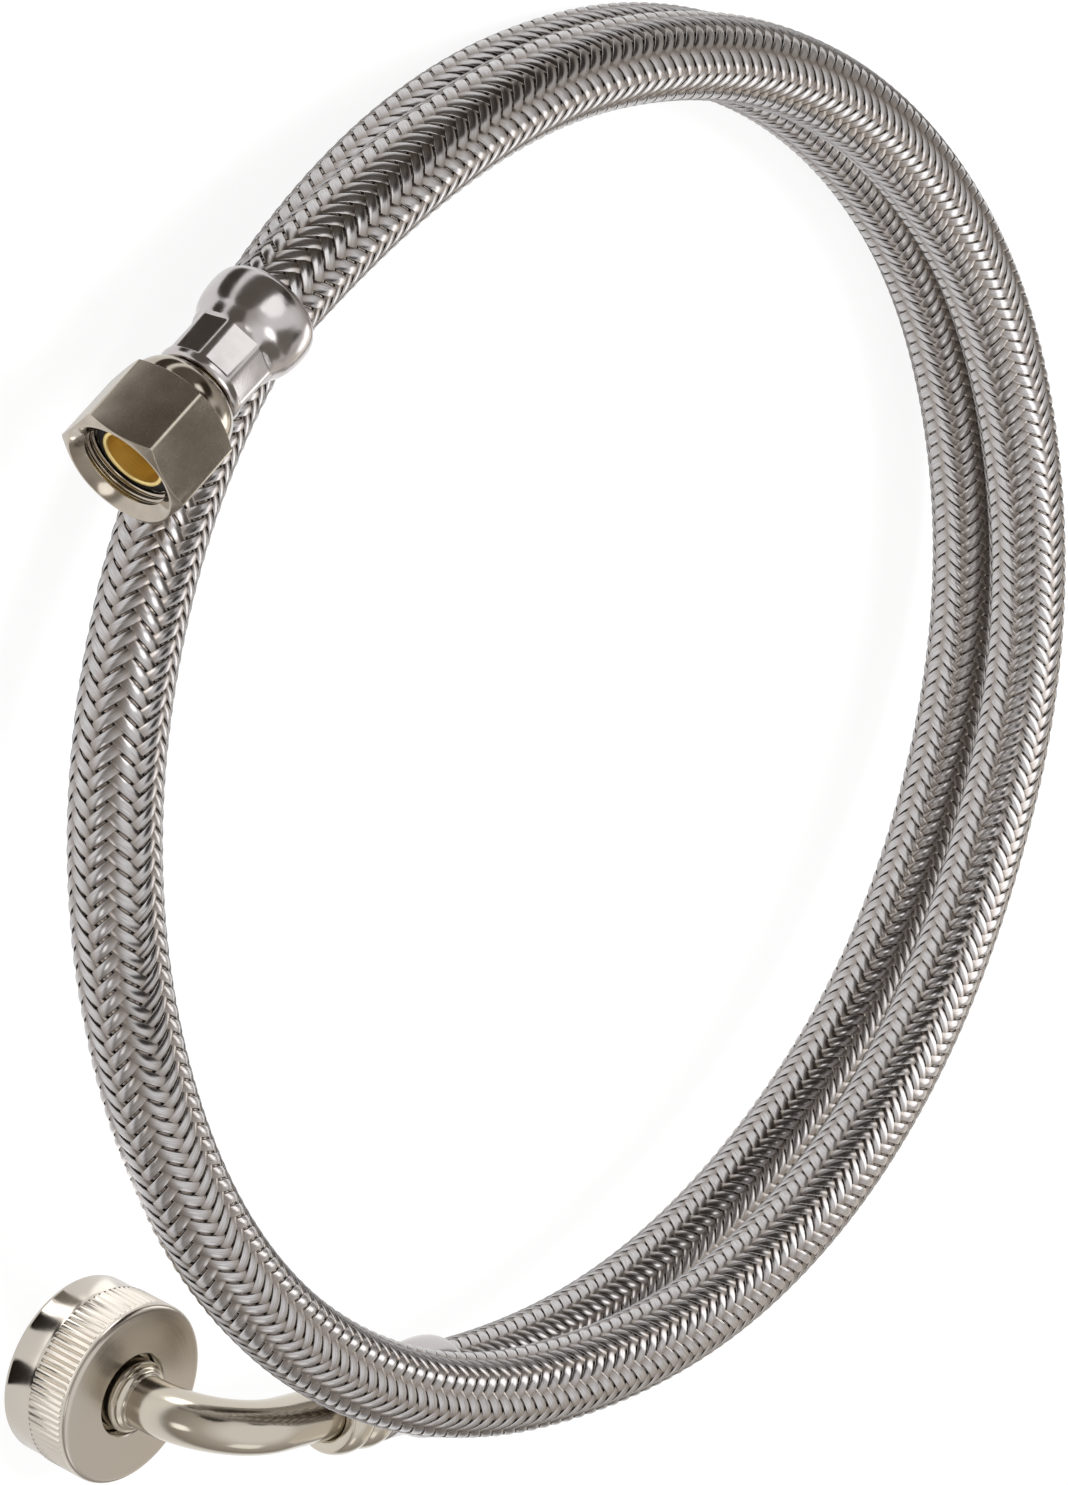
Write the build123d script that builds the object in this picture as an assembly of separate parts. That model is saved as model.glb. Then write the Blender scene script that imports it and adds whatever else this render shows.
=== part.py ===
"""Braided stainless-steel water supply line, coiled on a table, in millimetres with +Z up.

The line stands on its hose nut, mouth down, and on the lowest stretch of its coil. A tube elbow rises
from the hose nut and turns level into the first ferrule. The braided hose then climbs round the coil
and ends in the second ferrule and the hex compression nut. The origin is at the bottom centre of the
whole line's box.
"""

import os
from math import cos, degrees, pi, radians, sin, tan

from build123d import *

# ---- hose ----
BRAID_R = 6.8  # outside of the steel braid
BRAID_WALL = 0.9
LINER_WALL = 1.8
HOSE_LAP = 15.6  # how far the hose runs into each ferrule
CRIMP_SQUEEZE = 0.8  # how far the ferrule presses the braid in
CRIMPED_BRAID_WALL = 0.7
CRIMP_SLOPE = 1.6

# ---- ferrules, measured along the hose from the ferrule's mouth ----
FERRULE_WALL = 0.5
FERRULE_END_WALL = 1.3
COLLAR_BULGE = 0.9
COLLAR_MIDDLE = 2.9
COLLAR_END = 6.0
COLLAR_TO_CRIMP = 1.0  # plain stretch between the collar and the slope down to the waist
FERRULE_GAP = 0.05  # between the braid and the ferrule's mouth
CRIMP_FLATS = 8
CRIMP_DEPTH = 0.25  # how deep the crimping jaws bite into the waist
END_ROUND = 0.7

# ---- barbed stems ----
BARB_TIP = 2.4  # from the ferrule's mouth
BARB_STRETCH = 0.25  # how far the barbs widen the liner
BARB_HEIGHT = 0.4
BARB_COUNT = 4
BARB_LAND = 0.6  # flat top of each barb
BARBS_TO_STOP = 1.6  # plain stretch between the last barb and the stop
STEM_WALL = 0.75
STEM_STOP_GAP = 0.1
STEM_STOP = 0.7
STEM_NECK_WALL = 1.8

# ---- hex compression nut, 3/8 in compression ----
HEX_AF = 17.5
HEX_LENGTH = 11.3  # along the corners
DOME_LENGTH = 4.0
DOME_R = 6.5
DOME_BULGE = 0.6
NUT_A_GAP = 0.3  # between the ferrule's end and the nut
NUT_RUN_GAP = 0.1  # round the stem's neck
NUT_A_BACK_WALL = 5.0
THREAD_A_R = 6.65
THREAD_A_LENGTH = 1.6  # the part in front of the stem's nose
THREAD_A_LEAD_IN = 1.3
THREAD_A_DEPTH = 0.55
HEX_BACK_CHAMFER = 0.45
HEX_FRONT_CHAMFER = 1.6
NUT_A_RIM = 0.2  # flat ring round the mouth
HEX_ROLL = 39.0  # turn of the first corner away from straight up, about the nut's axis

# ---- stem and gasket inside the hex nut ----
NOSE_DEPTH = 3.0  # from the nut's mouth to the stem's tip
NOSE_WALL = 0.75
NOSE_BORE_DEPTH = 6.5
NOSE_FLARE = 1.8
NOSE_REACH = 0.5  # how far the tip stands out of the gasket
GASKET = 2.9
GASKET_GAP = 0.2  # between the gasket and the thread's crests
STEM_FLANGE_GAP = 0.25
STEM_FLANGE = 1.6

# ---- elbow ----
TUBE_R = 4.25
TUBE_WALL = 0.8
BEND_R = 14.1
LEG = 39.6  # straight part, from the ferrule's mouth to the bend
NECK = 3.7  # straight part above the hose nut
BEAD_R = 7.05
BEAD_LENGTH = 5.4
BEAD_GROOVE = 0.75
BEAD_COUNT = 2
BEAD_GAP = 0.25  # between the ferrule's end and the first bead
SOCKET = 8.0  # how far the tube goes into the second stem

# ---- hose nut, 3/4 in garden hose thread ----
NUT_B_HEIGHT = 13.4
NUT_B_WALL = 1.8
NUT_B_BACK_WALL = 1.8
NUT_B_HOLE_R = 6.75
NUT_B_ROUND = 1.0
NUT_B_LIP_ROUND = 0.5
THREAD_B_R = 12.45
THREAD_B_LEAD_IN = 0.8
THREAD_B_DEPTH = 0.55
WASHER_HOLE_R = 7.5
WASHER = 2.8
WASHER_GAP = 0.1  # between the washer's edge and the nut

# ---- tailpiece brazed to the elbow ----
TAIL_FLANGE = 1.4
TAIL_FLANGE_INSET = 1.2  # from the nut's inside to the flange's edge
TAIL_TO_WASHER = 0.2
TAIL_GAP = 0.3  # under the hose nut's back wall
TAIL_NECK_R = 5.85
TAIL_STEP_R = 5.2
TAIL_STEP = 0.6
TAIL_STAND = 1.6  # how far the neck stands out of the hose nut's back
TAIL_SEAT = 0.3  # above the flange, where the tube stops

# ---- route of the hose, about the coil's own centre ----
MOUTH_B = (-20.1, -107.4)  # mouth of the second ferrule; the hose leaves it along +X
FIRST_RUN = 33.4
COIL_FIRST = -52.0  # angle of the coil's first corner, in degrees
COIL_STEP = 30.0
FROM_ELBOW = [(108.0, -3.2), (113.6, -8.3)]  # radius of each corner, and height above the elbow's leg
ON_FLOOR = [  # radius and height of each corner
    (118.7, 14.9), (115.7, 8.9), (110.0, 6.8), (110.5, 7.0), (113.9, 9.1), (117.6, 13.6),
]
OVER_ELBOW = [  # radius of each corner, and height above the elbow's leg
    (121.8, -5.7), (120.1, 5.8), (112.5, 12.5), (100.8, 19.2), (98.3, 17.1), (105.3, 8.4),
]
ON_FIRST_TURN = [(112.2, 31.4), (113.7, 23.3), (109.9, 20.9), (111.6, 20.7)]  # radius and height
MOUTH_A = (-107.6, 65.6, 25.1)  # mouth of the first ferrule
LAST_RUN = 42.0
HEADING_A = -137.5  # level direction in which the hex nut points, in degrees from +X
PITCH_A = 3.0
ARC_SHARE = 0.45  # of the shorter run beside a corner

# ---- worked out from the sizes above ----
LEG_HEIGHT = NUT_B_HEIGHT + NECK + BEND_R
LINER_R = BRAID_R - BRAID_WALL
LINER_BORE_R = LINER_R - LINER_WALL
CRIMPED_BRAID_R = BRAID_R - CRIMP_SQUEEZE
CRIMPED_LINER_R = CRIMPED_BRAID_R - CRIMPED_BRAID_WALL
MOUTH_R = BRAID_R + FERRULE_WALL
COLLAR_R = MOUTH_R + COLLAR_BULGE
CRIMP_START = COLLAR_END + COLLAR_TO_CRIMP + CRIMP_SLOPE
WAIST_R = CRIMPED_BRAID_R + FERRULE_WALL
BARB_R = LINER_BORE_R + BARB_STRETCH
BARB_ROOT_R = BARB_R - BARB_HEIGHT
BARB_PITCH = (HOSE_LAP - BARB_TIP - BARBS_TO_STOP) / BARB_COUNT
STEM_BORE_R = BARB_ROOT_R - STEM_WALL
STEM_NECK_R = STEM_BORE_R + STEM_NECK_WALL
STEM_STOP_R = CRIMPED_BRAID_R - STEM_STOP_GAP
STEM_STOP_END = HOSE_LAP + STEM_STOP
FERRULE_LENGTH = STEM_STOP_END + FERRULE_END_WALL
NOSE_BORE_R = STEM_NECK_R - NOSE_WALL
GASKET_R = THREAD_A_R - GASKET_GAP
STEM_FLANGE_R = THREAD_A_R - STEM_FLANGE_GAP
NUT_A_RELIEF_R = THREAD_A_R + THREAD_A_DEPTH
NUT_A_START = FERRULE_LENGTH + NUT_A_GAP
HEX_START = NUT_A_START + DOME_LENGTH
HEX_END = HEX_START + HEX_LENGTH
NUT_A_END = HEX_END + HEX_FRONT_CHAMFER
THREAD_A_TOP = NUT_A_END - THREAD_A_LEAD_IN
NOSE_TIP = NUT_A_END - NOSE_DEPTH
GASKET_TOP = NOSE_TIP - NOSE_REACH
STEM_FLANGE_START = GASKET_TOP - GASKET - STEM_FLANGE
BEADS_START = FERRULE_LENGTH + BEAD_GAP
BEADS_END = BEADS_START + BEAD_COUNT * BEAD_LENGTH
NUT_B_CEILING = NUT_B_HEIGHT - NUT_B_BACK_WALL
TAIL_FLANGE_TOP = NUT_B_CEILING - TAIL_GAP
TAIL_FLANGE_BOTTOM = TAIL_FLANGE_TOP - TAIL_FLANGE
THREAD_B_TOP = TAIL_FLANGE_BOTTOM - TAIL_TO_WASHER - WASHER
SEAT_R = THREAD_B_R + THREAD_B_DEPTH
WASHER_R = SEAT_R - WASHER_GAP
TAIL_FLANGE_R = SEAT_R - TAIL_FLANGE_INSET
NUT_B_R = SEAT_R + NUT_B_WALL
TAIL_TOP = NUT_B_HEIGHT + TAIL_STAND
TUBE_BOTTOM = TAIL_FLANGE_TOP + TAIL_SEAT
HOSE_NUT_AXIS = (MOUTH_B[0] - LEG - BEND_R, MOUTH_B[1])


def turned(*edges):
    """A solid of revolution about Z from edges drawn with X as the radius and Y as the height."""
    return revolve(make_face([Plane.XZ * edge for edge in edges]), Axis.Z)


def turned_outline(*points):
    """A solid of revolution about Z from straight lines through (radius, height) points."""
    return turned(Polyline(*points, close=True))


def ring(inner, outer, bottom, top):
    """A plain tube about Z."""
    return turned_outline((inner, bottom), (outer, bottom), (outer, top), (inner, top))


def polar(radius, angle, height):
    """A point about the coil's centre."""
    return (radius * cos(radians(angle)), radius * sin(radians(angle)), height)


# ---- hose ----
def direction_a():
    """The way the hex nut's mouth points."""
    level = cos(radians(PITCH_A))
    return Vector(level * cos(radians(HEADING_A)), level * sin(radians(HEADING_A)), sin(radians(PITCH_A)))


def route_points():
    """The corners of the hose's route, from the second ferrule's mouth to the first one's."""
    start = Vector(*MOUTH_B, LEG_HEIGHT)
    from_elbow = [(radius, LEG_HEIGHT + above) for radius, above in FROM_ELBOW]
    over_elbow = [(radius, LEG_HEIGHT + above) for radius, above in OVER_ELBOW]
    corners = [*from_elbow, *ON_FLOOR, *over_elbow, *ON_FIRST_TURN]
    coil = [
        Vector(*polar(radius, COIL_FIRST + COIL_STEP * turn, height))
        for turn, (radius, height) in enumerate(corners)
    ]
    end = Vector(*MOUTH_A)
    return [start, start + Vector(FIRST_RUN, 0, 0), *coil, end - direction_a() * LAST_RUN, end]


def route_radii(points):
    """The bend radius at each corner: an arc as large as the two runs beside it allow."""
    radii = []
    for before, corner, after in zip(points, points[1:], points[2:]):
        half_turn = (corner - before).get_angle(after - corner) / 2
        shorter = min((corner - before).length, (after - corner).length)
        radii.append(ARC_SHARE * shorter / tan(radians(half_turn)))
    return radii


def hose_layer(route, inner, outer, *ends):
    """One layer of the hose: straight and bent spans of tube along the route, with both ends' shapes."""
    wall = Circle(outer) - Circle(inner)
    spans = []
    for edge in route.edges():
        start = Plane(origin=edge @ 0, z_dir=edge % 0)
        if edge.geom_type == GeomType.LINE:
            spans.append(extrude(start * wall, edge.length))
        else:
            turn_axis = Axis(edge.arc_center, (edge % 0).cross(edge % 1))
            spans.append(revolve(start * wall, turn_axis, degrees(edge.length / edge.radius)))
    first, *others = [*spans, *ends]
    return first + others


def hose_end(inner, outer, crimped_inner, crimped_outer):
    """One layer of the hose inside a ferrule: straight, then squeezed onto the stem's barbs."""
    slope_start = CRIMP_START - CRIMP_SLOPE
    return turned_outline(
        (inner, 0), (outer, 0), (outer, slope_start), (crimped_outer, CRIMP_START),
        (crimped_outer, HOSE_LAP), (crimped_inner, HOSE_LAP), (crimped_inner, CRIMP_START),
        (inner, slope_start),
    )


def braid_end():
    return hose_end(LINER_R, BRAID_R, CRIMPED_LINER_R, CRIMPED_BRAID_R)


def liner_end():
    """The liner's end, whose bore is stretched over the stem's barbs."""
    slope_start = CRIMP_START - CRIMP_SLOPE
    stretched = BARB_TIP - (BARB_R - LINER_BORE_R)
    return turned_outline(
        (LINER_BORE_R, 0), (LINER_R, 0), (LINER_R, slope_start), (CRIMPED_LINER_R, CRIMP_START),
        (CRIMPED_LINER_R, HOSE_LAP), (BARB_R, HOSE_LAP), (BARB_R, BARB_TIP), (LINER_BORE_R, stretched),
    )


# ---- ends ----
def ferrule():
    """A pressed steel ferrule: a rolled mouth, a bulged collar and a waist crimped into flats."""
    slope_start = CRIMP_START - CRIMP_SLOPE
    mouth_bore = BRAID_R + FERRULE_GAP
    shell_r = COLLAR_R - FERRULE_WALL
    collar_foot = CRIMP_START + FERRULE_WALL
    outside = [
        Line((mouth_bore, 0), (MOUTH_R, 0)),
        ThreePointArc((MOUTH_R, 0), (COLLAR_R, COLLAR_MIDDLE), (MOUTH_R + FERRULE_WALL, COLLAR_END)),
        Line((MOUTH_R + FERRULE_WALL, COLLAR_END), (WAIST_R, collar_foot)),
        Line((WAIST_R, collar_foot), (WAIST_R, FERRULE_LENGTH - END_ROUND)),
        ThreePointArc(
            (WAIST_R, FERRULE_LENGTH - END_ROUND),
            (WAIST_R - END_ROUND * (1 - cos(pi / 4)), FERRULE_LENGTH - END_ROUND * (1 - sin(pi / 4))),
            (WAIST_R - END_ROUND, FERRULE_LENGTH),
        ),
        Line((WAIST_R - END_ROUND, FERRULE_LENGTH), (STEM_NECK_R, FERRULE_LENGTH)),
        Line((STEM_NECK_R, FERRULE_LENGTH), (STEM_NECK_R, STEM_STOP_END)),
    ]
    inside = [
        Line((STEM_NECK_R, STEM_STOP_END), (CRIMPED_BRAID_R, STEM_STOP_END)),
        Line((CRIMPED_BRAID_R, STEM_STOP_END), (CRIMPED_BRAID_R, CRIMP_START)),
        Line((CRIMPED_BRAID_R, CRIMP_START), (mouth_bore, slope_start)),
        Line((mouth_bore, slope_start), (MOUTH_R, COLLAR_END)),
        ThreePointArc((MOUTH_R, COLLAR_END), (shell_r, COLLAR_MIDDLE), (mouth_bore, FERRULE_WALL)),
        Line((mouth_bore, FERRULE_WALL), (mouth_bore, 0)),
    ]
    shell = turned(*outside, *inside)
    flats_start, flats_end = collar_foot, FERRULE_LENGTH - END_ROUND
    flats = RegularPolygon(WAIST_R - CRIMP_DEPTH, CRIMP_FLATS, major_radius=False)
    prism = extrude(flats, flats_end - flats_start)
    blank = Cylinder(COLLAR_R, flats_end - flats_start, align=(Align.CENTER, Align.CENTER, Align.MIN))
    return shell - Pos(0, 0, flats_start) * (blank - prism)


def barb_outline():
    """The stem's outside from the barbed tip to the ferrule's end, as (radius, height) points."""
    points = [(BARB_ROOT_R, BARB_TIP)]
    for barb in range(BARB_COUNT):
        land_end = BARB_TIP + BARB_PITCH * (barb + 1)
        points += [(BARB_R, land_end - BARB_LAND), (BARB_R, land_end), (BARB_ROOT_R, land_end)]
    return points + [
        (BARB_ROOT_R, HOSE_LAP), (STEM_STOP_R, HOSE_LAP), (STEM_STOP_R, STEM_STOP_END),
        (STEM_NECK_R, STEM_STOP_END),
    ]


def stem_a():
    """The brass stem that holds the hex nut: barbs, neck, flange and nose in one turned piece."""
    flange_end = STEM_FLANGE_START + STEM_FLANGE
    bore_start = NOSE_TIP - NOSE_BORE_DEPTH
    return turned_outline(
        (STEM_BORE_R, BARB_TIP), *barb_outline(),
        (STEM_NECK_R, STEM_FLANGE_START), (STEM_FLANGE_R, STEM_FLANGE_START), (STEM_FLANGE_R, flange_end),
        (STEM_NECK_R, flange_end), (STEM_NECK_R, NOSE_TIP), (NOSE_BORE_R, NOSE_TIP),
        (NOSE_BORE_R, bore_start), (STEM_BORE_R, bore_start - NOSE_FLARE),
    )


def gasket_a():
    """The rubber ring on the stem's nose."""
    return ring(STEM_NECK_R, GASKET_R, GASKET_TOP - GASKET, GASKET_TOP)


def hex_nut():
    """The hex compression nut: a domed shoulder, six flats and a threaded mouth."""
    hole = STEM_NECK_R + NUT_RUN_GAP
    corner = HEX_AF / 2 / cos(pi / 6)
    back_r = HEX_AF / 2 - HEX_BACK_CHAMFER
    front_r = corner - HEX_FRONT_CHAMFER
    cavity_start = NUT_A_START + NUT_A_BACK_WALL
    relief_top = THREAD_A_TOP - THREAD_A_LENGTH
    bulge = ((DOME_R + back_r) / 2 + DOME_BULGE, NUT_A_START + DOME_LENGTH / 2 - DOME_BULGE)
    slant = (corner - back_r) * tan(radians(30))
    body = turned(
        Line((hole, NUT_A_START), (DOME_R, NUT_A_START)),
        ThreePointArc((DOME_R, NUT_A_START), bulge, (back_r, HEX_START)),
        Line((back_r, HEX_START), (corner, HEX_START + slant)),
        Line((corner, HEX_START + slant), (corner, HEX_END)),
        Line((corner, HEX_END), (front_r, NUT_A_END)),
        Line((front_r, NUT_A_END), (front_r - NUT_A_RIM, NUT_A_END)),
        Line((front_r - NUT_A_RIM, NUT_A_END), (THREAD_A_R, THREAD_A_TOP)),
        Line((THREAD_A_R, THREAD_A_TOP), (THREAD_A_R, relief_top)),
        Line((THREAD_A_R, relief_top), (NUT_A_RELIEF_R, relief_top)),
        Line((NUT_A_RELIEF_R, relief_top), (NUT_A_RELIEF_R, cavity_start)),
        Line((NUT_A_RELIEF_R, cavity_start), (hole, cavity_start)),
        Line((hole, cavity_start), (hole, NUT_A_START)),
    )
    length = NUT_A_END - NUT_A_START
    prism = extrude(RegularPolygon(HEX_AF / 2, 6, major_radius=False, rotation=HEX_ROLL), length)
    return body & Pos(0, 0, NUT_A_START) * prism


def stem_b():
    """The barbed stem at the elbow, with rounded beads against the ferrule and a socket for the tube."""
    groove_r = BEAD_R - BEAD_GROOVE
    socket_end = BEADS_END - SOCKET
    neck = [(STEM_NECK_R, BEADS_START), (groove_r, BEADS_START)]
    profile = [Polyline((STEM_BORE_R, BARB_TIP), *barb_outline(), *neck)]
    for bead in range(BEAD_COUNT):
        start = BEADS_START + bead * BEAD_LENGTH
        middle, end = start + BEAD_LENGTH / 2, start + BEAD_LENGTH
        profile.append(ThreePointArc((groove_r, start), (BEAD_R, middle), (groove_r, end)))
    profile.append(
        Polyline(
            (groove_r, BEADS_END), (TUBE_R, BEADS_END), (TUBE_R, socket_end),
            (STEM_BORE_R, socket_end), (STEM_BORE_R, BARB_TIP),
        )
    )
    return turned(*profile)


def elbow_tube():
    """The bent tube, from the tailpiece up, round the bend and into the second stem's socket."""
    wall = Circle(TUBE_R) - Circle(TUBE_R - TUBE_WALL)
    neck_top = NUT_B_HEIGHT + NECK
    neck = Pos(*HOSE_NUT_AXIS, TUBE_BOTTOM) * extrude(wall, neck_top - TUBE_BOTTOM)
    bend_axis = Axis((HOSE_NUT_AXIS[0] + BEND_R, HOSE_NUT_AXIS[1], neck_top), (0, 1, 0))
    bend = revolve(Pos(*HOSE_NUT_AXIS, neck_top) * wall, bend_axis, 90)
    leg_start = HOSE_NUT_AXIS[0] + BEND_R
    leg_end = MOUTH_B[0] - BEADS_END + SOCKET
    leg_plane = Plane(origin=(leg_start, MOUTH_B[1], LEG_HEIGHT), z_dir=(1, 0, 0))
    return neck + bend + extrude(leg_plane * wall, leg_end - leg_start)


def tailpiece():
    """The turned brass end brazed to the elbow, whose flange keeps the hose nut on."""
    step_start = TAIL_TOP - TAIL_STEP
    water_r = TUBE_R - TUBE_WALL
    return turned_outline(
        (water_r, TAIL_FLANGE_BOTTOM), (TAIL_FLANGE_R, TAIL_FLANGE_BOTTOM),
        (TAIL_FLANGE_R, TAIL_FLANGE_TOP), (TAIL_NECK_R, TAIL_FLANGE_TOP),
        (TAIL_NECK_R, step_start), (TAIL_STEP_R, step_start),
        (TAIL_STEP_R, TAIL_TOP), (TUBE_R, TAIL_TOP), (TUBE_R, TUBE_BOTTOM), (water_r, TUBE_BOTTOM),
    )


def hose_nut():
    """The garden-hose swivel nut, standing on its mouth."""
    body = turned_outline(
        (THREAD_B_R + THREAD_B_LEAD_IN, 0), (NUT_B_R, 0), (NUT_B_R, NUT_B_HEIGHT),
        (NUT_B_HOLE_R, NUT_B_HEIGHT), (NUT_B_HOLE_R, NUT_B_CEILING), (SEAT_R, NUT_B_CEILING),
        (SEAT_R, THREAD_B_TOP), (THREAD_B_R, THREAD_B_TOP), (THREAD_B_R, THREAD_B_LEAD_IN),
    )
    back_rim = body.edges().group_by(Axis.Z)[-1].sort_by(SortBy.RADIUS)[-1]
    body = fillet(back_rim, NUT_B_ROUND)
    lip = body.edges().group_by(Axis.Z)[0].sort_by(SortBy.RADIUS)[-1]
    return fillet(lip, NUT_B_LIP_ROUND)


def hose_washer():
    """The rubber washer, which lies on the thread's top inside the hose nut."""
    return ring(WASHER_HOLE_R, WASHER_R, THREAD_B_TOP, THREAD_B_TOP + WASHER)


# ---- the whole line ----
points = route_points()
radii = route_radii(points)
route = FilletPolyline(*points, radius=radii)
print("route radii", [round(radius, 1) for radius in radii], "length", round(route.length, 1))

up = Vector(0, 0, 1)
out_a = direction_a()
at_a = Plane(origin=MOUTH_A, x_dir=up - out_a * up.dot(out_a), z_dir=out_a)
at_b = Plane(origin=(*MOUTH_B, LEG_HEIGHT), x_dir=(0, 0, 1), z_dir=(-1, 0, 0))
on_floor = Pos(*HOSE_NUT_AXIS, 0)

pieces = {
    "braid_sleeve": hose_layer(route, LINER_R, BRAID_R, at_a * braid_end(), at_b * braid_end()),
    "inner_tube": hose_layer(route, LINER_BORE_R, LINER_R, at_a * liner_end(), at_b * liner_end()),
    "ferrule_a": at_a * ferrule(),
    "stem_a": at_a * stem_a(),
    "gasket_a": at_a * gasket_a(),
    "hex_nut": at_a * hex_nut(),
    "ferrule_b": at_b * ferrule(),
    "stem_b": at_b * stem_b(),
    "elbow_tube": elbow_tube(),
    "tailpiece": on_floor * tailpiece(),
    "hose_nut": on_floor * hose_nut(),
    "hose_washer": on_floor * hose_washer(),
}

box = Compound(children=[Compound(piece.solids()) for piece in pieces.values()]).bounding_box()
to_origin = Pos(-box.center().X, -box.center().Y, -box.min.Z)
os.makedirs("parts", exist_ok=True)
for name, piece in pieces.items():
    export_step(to_origin * piece, f"parts/{name}.step")
print("box", box.size, "moved by", to_origin.position)
section = pi * (BRAID_R**2 - LINER_R**2)
tube_volume = pieces["braid_sleeve"].volume - 2 * braid_end().volume
print("braid volume", round(tube_volume, 1), "section x length", round(section * route.length, 1))
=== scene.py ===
"""A braided stainless-steel water supply line, coiled on a table: the looks of every piece.

Sizes are in millimetres and become metres through MM. The pieces of each end are shaped upright about
Z, from the ferrule's mouth or from the table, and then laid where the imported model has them.
"""

from math import cos, pi, radians, sin, tan

import bmesh
import bpy
import numpy as np
from mathutils import Matrix, Vector


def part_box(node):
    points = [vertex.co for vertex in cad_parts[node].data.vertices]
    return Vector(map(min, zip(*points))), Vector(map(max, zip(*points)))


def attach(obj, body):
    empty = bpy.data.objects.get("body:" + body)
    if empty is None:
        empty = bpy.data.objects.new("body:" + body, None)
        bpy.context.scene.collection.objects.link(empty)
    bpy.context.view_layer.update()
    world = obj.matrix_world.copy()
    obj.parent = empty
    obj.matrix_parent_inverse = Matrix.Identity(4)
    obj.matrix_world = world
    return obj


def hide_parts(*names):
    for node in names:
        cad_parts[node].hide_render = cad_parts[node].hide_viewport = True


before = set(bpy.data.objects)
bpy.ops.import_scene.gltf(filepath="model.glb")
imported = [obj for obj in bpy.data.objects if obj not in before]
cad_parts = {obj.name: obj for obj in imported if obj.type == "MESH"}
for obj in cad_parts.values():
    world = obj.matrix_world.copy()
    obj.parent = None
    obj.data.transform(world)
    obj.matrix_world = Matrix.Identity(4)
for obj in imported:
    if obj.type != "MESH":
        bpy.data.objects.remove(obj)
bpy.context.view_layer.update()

# ---- camera ----
# Everything is placed from the middle of the coil, at the table's top. A long lens looks down at the
# coil from its left, with the two nuts on the near side.
MM = 0.001
nut_low, nut_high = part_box("hose_nut")
hose_nut_axis = Vector(((nut_low.x + nut_high.x) / 2, (nut_low.y + nut_high.y) / 2, 0))
HOSE_NUT_FROM_COIL = Vector((-73.8, -107.4, 0))
coil = hose_nut_axis - HOSE_NUT_FROM_COIL * MM
CAMERA_FROM_COIL = Vector((-555.95, 141.72, 404.83))
SIGHT = Vector((0.79501, -0.21325, -0.56788))
IMAGE_UP = Vector((0.04299, 0.95362, -0.29792))
LENS = 103.99
SENSOR_HEIGHT = 36
NEAREST, FARTHEST = 0.05, 20.0  # metres

sight = SIGHT.normalized()
image_right = sight.cross(IMAGE_UP).normalized()
image_up = image_right.cross(sight)
camera_turn = Matrix((image_right, image_up, -sight)).transposed().to_4x4()
bpy.ops.object.camera_add()
camera = bpy.context.object
camera.name = "camera"
camera.matrix_world = Matrix.Translation(coil + CAMERA_FROM_COIL * MM) @ camera_turn
camera.data.sensor_fit = "VERTICAL"
camera.data.sensor_height = SENSOR_HEIGHT
camera.data.lens = LENS
camera.data.clip_start = NEAREST
camera.data.clip_end = FARTHEST
bpy.context.scene.camera = camera

# ---- liner, which carries the hose's route ----
# The hose's inside: an extruded elastomer tube, which shows only through the braid's gaps. It leaves
# the elbow's ferrule level, goes round the coil and ends in the hex nut's ferrule.
LINER_R = 5.8
LEG_HEIGHT = 31.2
MOUTH_B = Vector((-20.1, -107.4, LEG_HEIGHT))
FIRST_RUN = 33.4
COIL_FIRST, COIL_STEP = -52.0, 30.0  # angle of the coil's first corner, and the step to the next
CORNERS = [  # radius and height of each corner of the coil
    (108.0, 28.0), (113.6, 22.9), (118.7, 14.9), (115.7, 8.9), (110.0, 6.8), (110.5, 7.0),
    (113.9, 9.1), (117.6, 13.6), (121.8, 25.5), (120.1, 37.0), (112.5, 43.7), (100.8, 50.4),
    (98.3, 48.3), (105.3, 39.6), (112.2, 31.4), (113.7, 23.3), (109.9, 20.9), (111.6, 20.7),
]
MOUTH_A = Vector((-107.6, 65.6, 25.1))
LAST_RUN = 42.0
HEADING_A, PITCH_A = radians(-137.5), radians(3.0)  # the way the hex nut's mouth points
SPLINE_STEPS = 24  # points between two corners when the route is read
ROUND_STEPS = 5  # of a quarter of the liner's round section

out_a = Vector((cos(PITCH_A) * cos(HEADING_A), cos(PITCH_A) * sin(HEADING_A), sin(PITCH_A)))
turns = []
for number, (radius, height) in enumerate(CORNERS):
    angle = radians(COIL_FIRST + COIL_STEP * number)
    turns.append(Vector((radius * cos(angle), radius * sin(angle), height)))
route_points = [MOUTH_B, MOUTH_B + Vector((FIRST_RUN, 0, 0)), *turns, MOUTH_A - out_a * LAST_RUN, MOUTH_A]
liner_curve = bpy.data.curves.new("liner", "CURVE")
liner_curve.dimensions = "3D"
liner_curve.resolution_u = SPLINE_STEPS
spline = liner_curve.splines.new("NURBS")
spline.points.add(len(route_points) - 1)
for control, point in zip(spline.points, route_points):
    control.co = (*(coil + point * MM), 1)
spline.order_u = 3
spline.use_endpoint_u = True
liner = bpy.data.objects.new("liner", liner_curve)
bpy.context.scene.collection.objects.link(liner)
bpy.context.view_layer.update()
line_mesh = bpy.data.meshes.new_from_object(liner)
line = np.array([vertex.co for vertex in line_mesh.vertices])
bpy.data.meshes.remove(line_mesh)
steps = np.linalg.norm(np.diff(line, axis=0), axis=1)
line_at = np.concatenate([[0], np.cumsum(steps)])  # length along the hose at each point of its line
hose_length = line_at[-1]
liner_curve.bevel_depth = LINER_R * MM
liner_curve.bevel_resolution = ROUND_STEPS
liner_curve.use_fill_caps = True


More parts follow.
